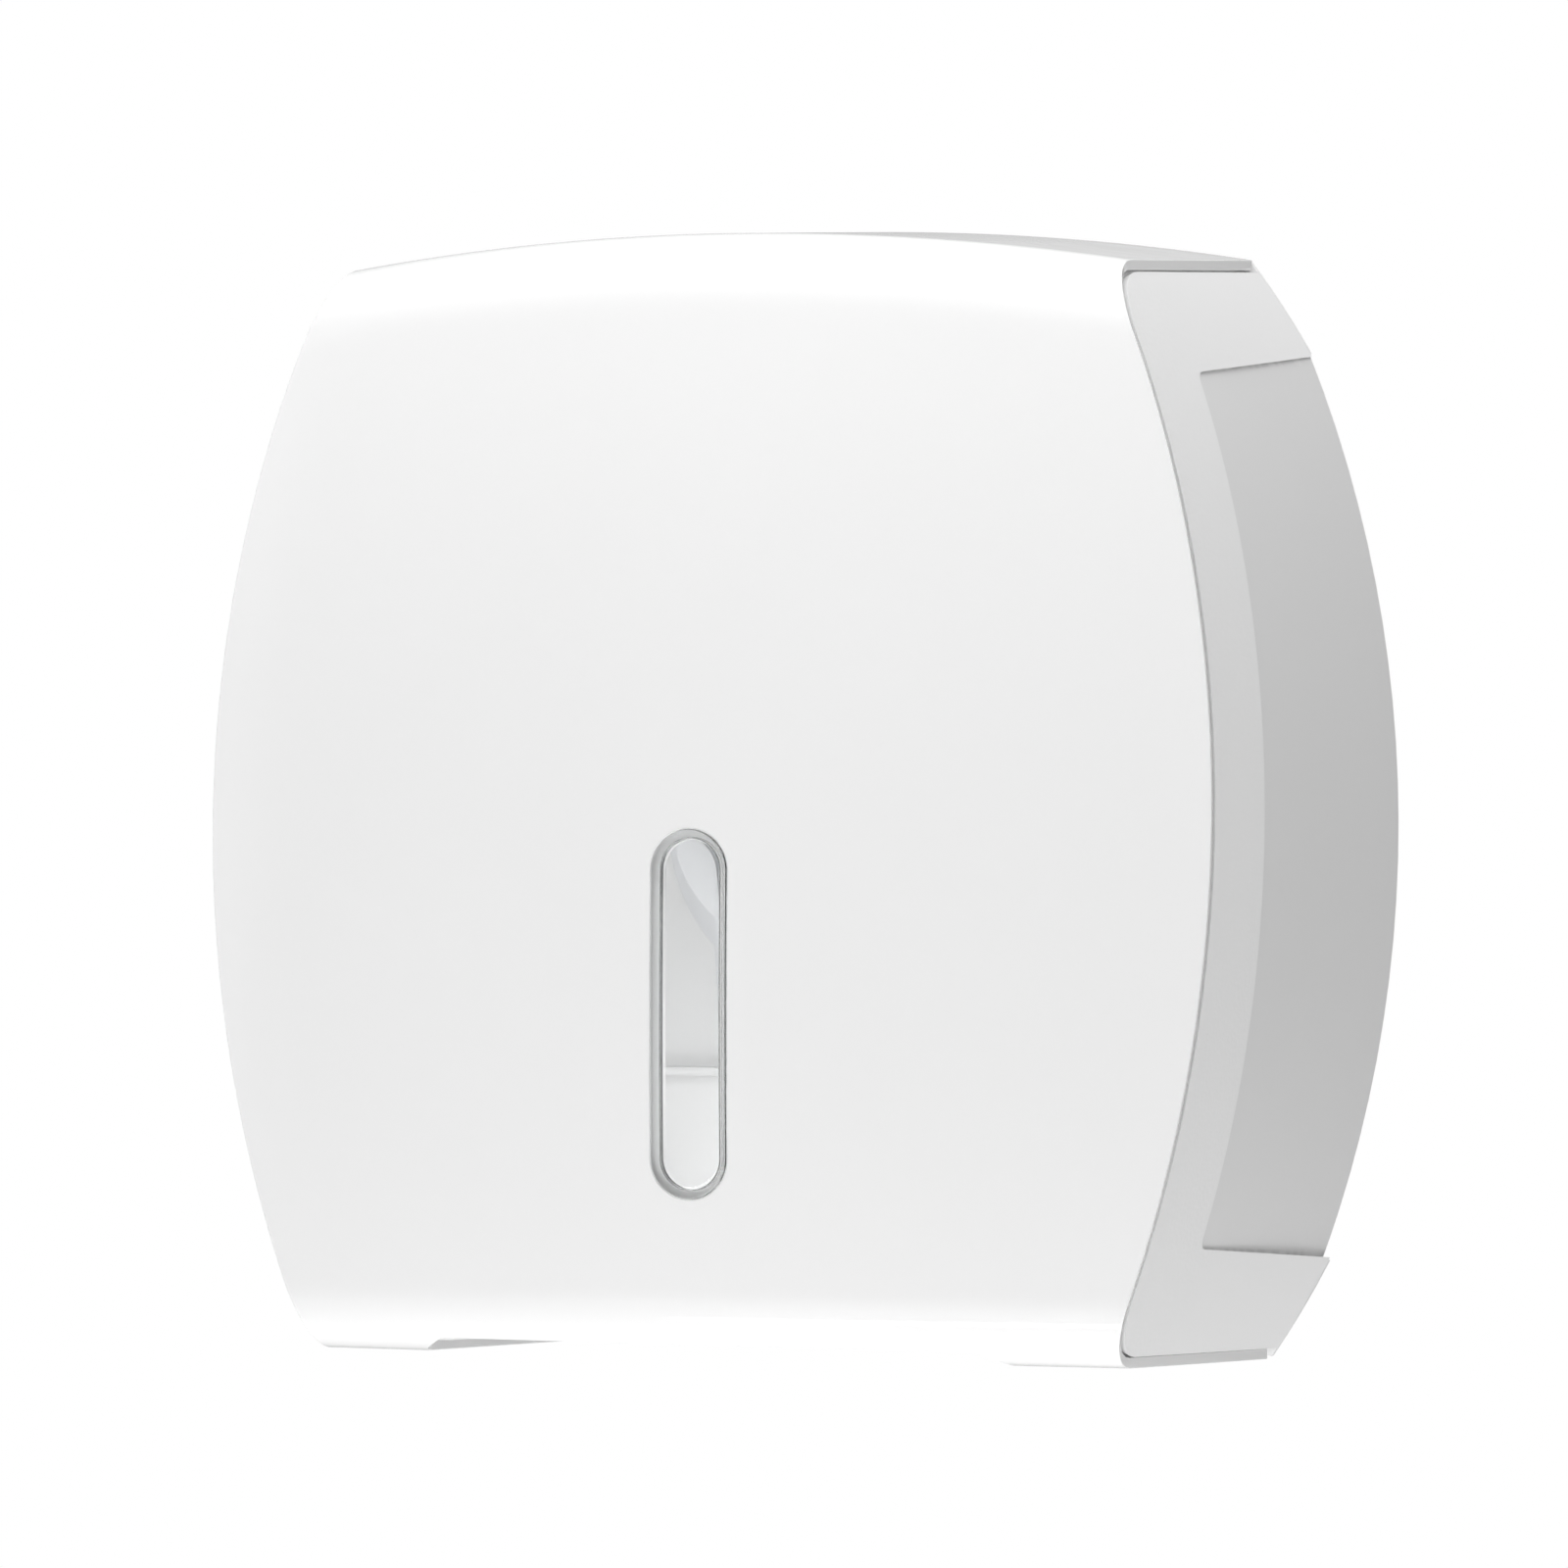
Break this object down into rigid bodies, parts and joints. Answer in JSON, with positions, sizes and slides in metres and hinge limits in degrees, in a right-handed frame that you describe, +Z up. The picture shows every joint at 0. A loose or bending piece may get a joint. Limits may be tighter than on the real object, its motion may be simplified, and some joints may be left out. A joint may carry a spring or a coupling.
{
  "type": "wall-mounted jumbo roll tissue dispenser",
  "caption": "White wall-mounted washroom dispenser for one large flat roll, with a hinged lockable cover, a viewing window, a turning hub and toothed tear bars at an outlet underneath.",
  "frame": {"origin": "on the wall plane, at the centre of the four screw slots and in line with the roll spindle", "axes": "+Z up, -Y out of the wall towards the user, +X to the right as seen from the front"},
  "size_m": [0.2744, 0.1185, 0.2709],
  "materials": {
    "cover_gloss": "injection-moulded ABS, high gloss, white",
    "panel_grain": "injection-moulded ABS, fine leather grain, white",
    "plate_abs": "injection-moulded ABS, satin, white",
    "lens_clear": "clear moulded polycarbonate, polished",
    "hub_abs": "injection-moulded ABS, satin, pale grey",
    "washer_acetal": "acetal, natural",
    "zinc_steel": "zinc-plated steel",
    "stainless": "stainless steel strip",
    "lock_nickel": "nickel-plated zinc casting"
  },
  "bodies": {
    "root": {"wall_plate": "plate_abs", "spindle": "plate_abs", "spindle_screws": "zinc_steel", "thrust_washer": "washer_acetal", "keeper_washer": "zinc_steel", "keeper_screw": "zinc_steel", "brake_spring": "stainless", "brake_screw": "zinc_steel", "striker": "zinc_steel", "striker_screws": "zinc_steel", "hinge_pins": "stainless"},
    "cover": {"front_cover": "cover_gloss", "left_side_panel": "panel_grain", "right_side_panel": "panel_grain", "panel_screws": "zinc_steel", "window_lens": "lens_clear", "window_frame": "plate_abs", "window_screws": "zinc_steel", "left_tear_bar": "stainless", "right_tear_bar": "stainless", "tear_bar_screws": "zinc_steel", "lock_housing": "lock_nickel", "lock_nut": "zinc_steel"},
    "hub": {"roll_hub": "hub_abs"},
    "lock": {"lock_barrel": "lock_nickel", "lock_cam": "zinc_steel", "cam_screw": "zinc_steel"}
  },
  "joints": [
    {"name": "cover_hinge", "type": "hinge", "parent": "root", "child": "cover", "pos_m": [0, -0.008, -0.12166], "axis": [1, 0, 0], "range_deg": [0, 85]},
    {"name": "hub_spin", "type": "hinge", "parent": "root", "child": "hub", "pos_m": [0, -0.03, 0], "axis": [0, 1, 0], "continuous": true},
    {"name": "lock_turn", "type": "hinge", "parent": "cover", "child": "lock", "pos_m": [0, -0.03, 0.12], "axis": [0, 0, -1], "range_deg": [0, 90]}
  ]
}
